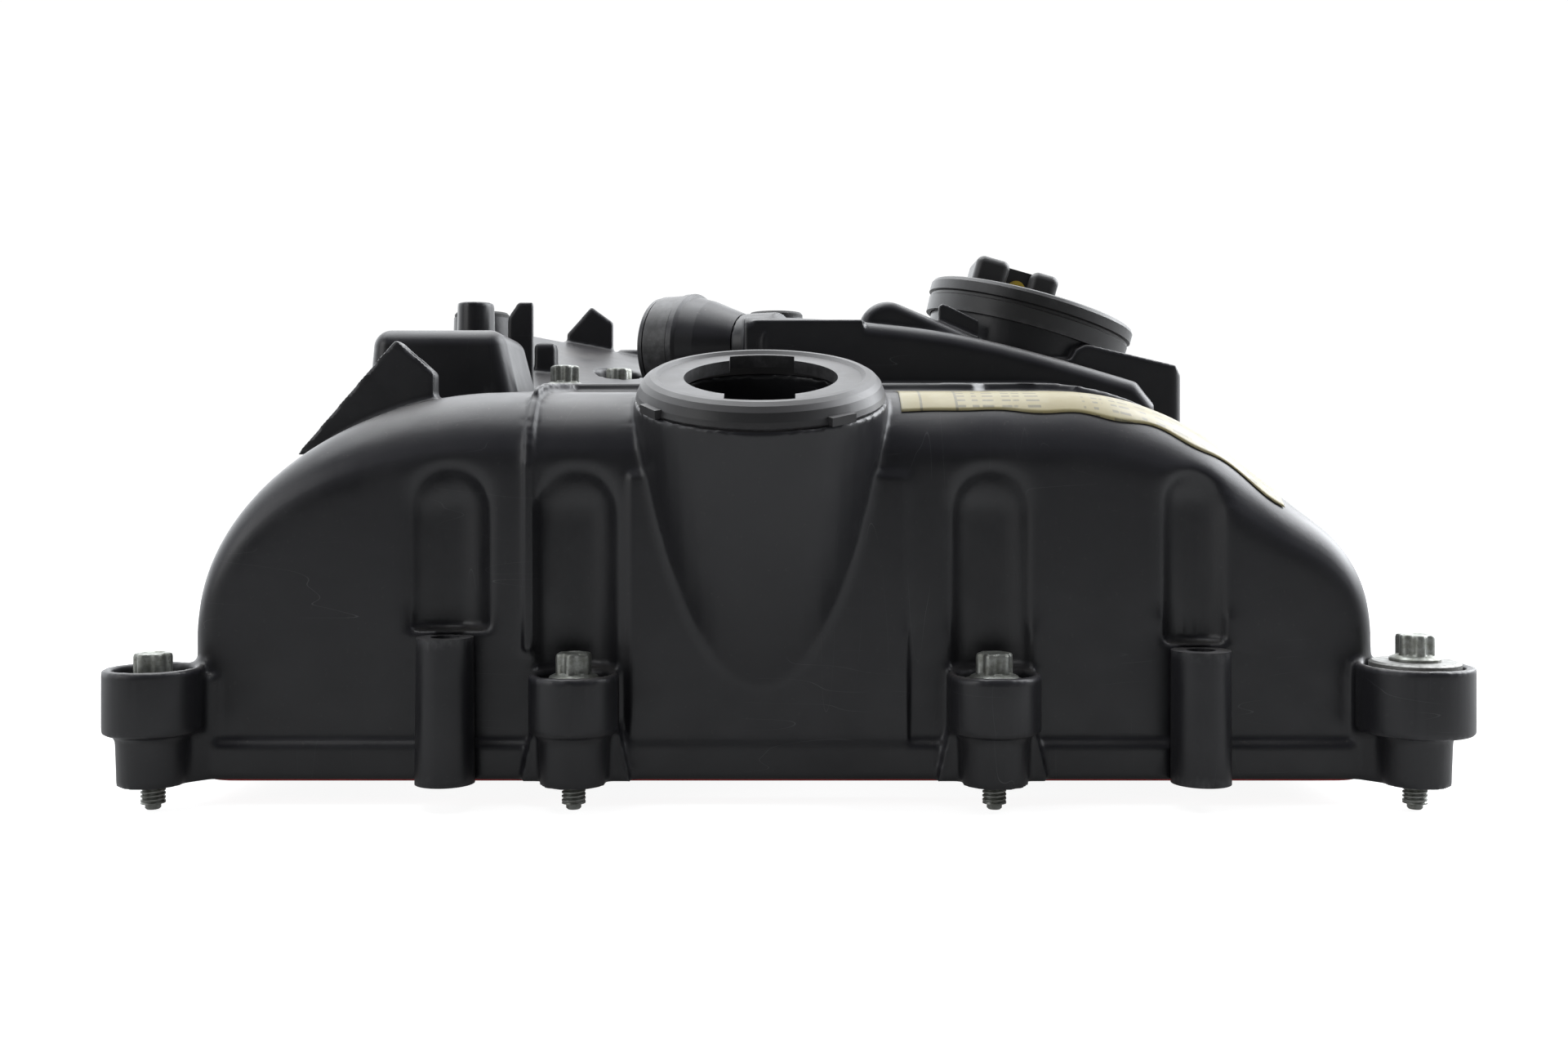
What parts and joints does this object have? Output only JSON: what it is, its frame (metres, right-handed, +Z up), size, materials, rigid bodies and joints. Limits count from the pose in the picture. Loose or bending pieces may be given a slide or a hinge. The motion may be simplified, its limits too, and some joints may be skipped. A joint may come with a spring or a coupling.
{
  "type": "cylinder head cover",
  "caption": "Moulded cylinder head cover with leaning oil filler neck, built-in oil separator, breather valve cap, captive bolts and perimeter gasket.",
  "frame": {"origin": "centre of the sealing plane, in the middle of the bolt pattern", "axes": "+X along the crankshaft, +Y from the filler side to the far side, +Z up, away from the cylinder head"},
  "size_m": [0.3442, 0.2598, 0.1555],
  "materials": {
    "black_plastic": "moulded glass-filled, semi-matte",
    "lid_plastic": "moulded, semi-matte",
    "black_rubber": "matte",
    "red_silicone": "satin",
    "bolt_steel": "zinc plated",
    "washer_steel": "zinc plated, pale",
    "spring_steel": "bright",
    "label_film": "printed film, no text",
    "yellow_mark": "paint dot"
  },
  "bodies": {
    "cover": {"cover_shell": "black_plastic", "filler_neck_ring": "black_plastic", "chamber_cap": "black_plastic", "separator_shell": "black_plastic", "outlet_pipe": "black_plastic", "valve_seat": "black_plastic", "cyclone_insert": "black_plastic", "separator_baffle": "black_plastic", "oil_drain_tray": "black_plastic", "injector_tube_1": "black_plastic", "injector_tube_2": "black_plastic", "injector_tube_3": "black_plastic", "stud_tube_left": "black_plastic", "stud_tube_right": "black_plastic", "outlet_band": "black_rubber", "cover_gasket": "red_silicone", "label": "label_film", "diaphragm": "black_rubber", "valve_spring": "spring_steel", "drain_valve": "black_rubber", "injector_seal_1": "black_rubber", "injector_seal_2": "black_rubber", "injector_seal_3": "black_rubber", "bolt_sleeves": "washer_steel", "bolt_grommets": "black_rubber"},
    "lid": {"breather_lid": "lid_plastic", "lid_mark": "yellow_mark", "lid_o_ring": "black_rubber"},
    "valve": {"valve_plate": "lid_plastic"},
    "bolt_front_1": {"bolt_front_1": "bolt_steel"},
    "bolt_front_2": {"bolt_front_2": "bolt_steel"},
    "bolt_front_3": {"bolt_front_3": "bolt_steel"},
    "bolt_front_4": {"bolt_front_4": "bolt_steel"},
    "bolt_rear_1": {"bolt_rear_1": "bolt_steel"},
    "bolt_rear_2": {"bolt_rear_2": "bolt_steel"},
    "bolt_rear_3": {"bolt_rear_3": "bolt_steel"},
    "bolt_rear_4": {"bolt_rear_4": "bolt_steel"},
    "bolt_roof_1": {"bolt_roof_1": "bolt_steel"},
    "bolt_roof_2": {"bolt_roof_2": "bolt_steel"}
  },
  "joints": [
    {"name": "lid_turn", "type": "hinge", "parent": "cover", "child": "lid", "pos_m": [0.0825, 0.004, 0.1338], "axis": [0.2756, 0, 0.9613], "range_deg": [0, 60]},
    {"name": "valve_travel", "type": "slide", "parent": "cover", "child": "valve", "axis": [-0.2756, 0, -0.9613], "range_m": [0, 0.003], "stiffness_N_per_m": 60, "springref_m": -0.004, "deforming": ["valve_spring", "diaphragm"]},
    {"name": "bolt_front_1_slide", "type": "slide", "parent": "cover", "child": "bolt_front_1", "axis": [0, 0, 1], "range_m": [0, 0.008]},
    {"name": "bolt_front_2_slide", "type": "slide", "parent": "cover", "child": "bolt_front_2", "axis": [0, 0, 1], "range_m": [0, 0.008]},
    {"name": "bolt_front_3_slide", "type": "slide", "parent": "cover", "child": "bolt_front_3", "axis": [0, 0, 1], "range_m": [0, 0.008]},
    {"name": "bolt_front_4_slide", "type": "slide", "parent": "cover", "child": "bolt_front_4", "axis": [0, 0, 1], "range_m": [0, 0.008]},
    {"name": "bolt_rear_1_slide", "type": "slide", "parent": "cover", "child": "bolt_rear_1", "axis": [0, 0, 1], "range_m": [0, 0.008]},
    {"name": "bolt_rear_2_slide", "type": "slide", "parent": "cover", "child": "bolt_rear_2", "axis": [0, 0, 1], "range_m": [0, 0.008]},
    {"name": "bolt_rear_3_slide", "type": "slide", "parent": "cover", "child": "bolt_rear_3", "axis": [0, 0, 1], "range_m": [0, 0.008]},
    {"name": "bolt_rear_4_slide", "type": "slide", "parent": "cover", "child": "bolt_rear_4", "axis": [0, 0, 1], "range_m": [0, 0.008]},
    {"name": "bolt_roof_1_slide", "type": "slide", "parent": "cover", "child": "bolt_roof_1", "axis": [0, 0, 1], "range_m": [0, 0.01]},
    {"name": "bolt_roof_2_slide", "type": "slide", "parent": "cover", "child": "bolt_roof_2", "axis": [0, 0, 1], "range_m": [0, 0.01]}
  ]
}
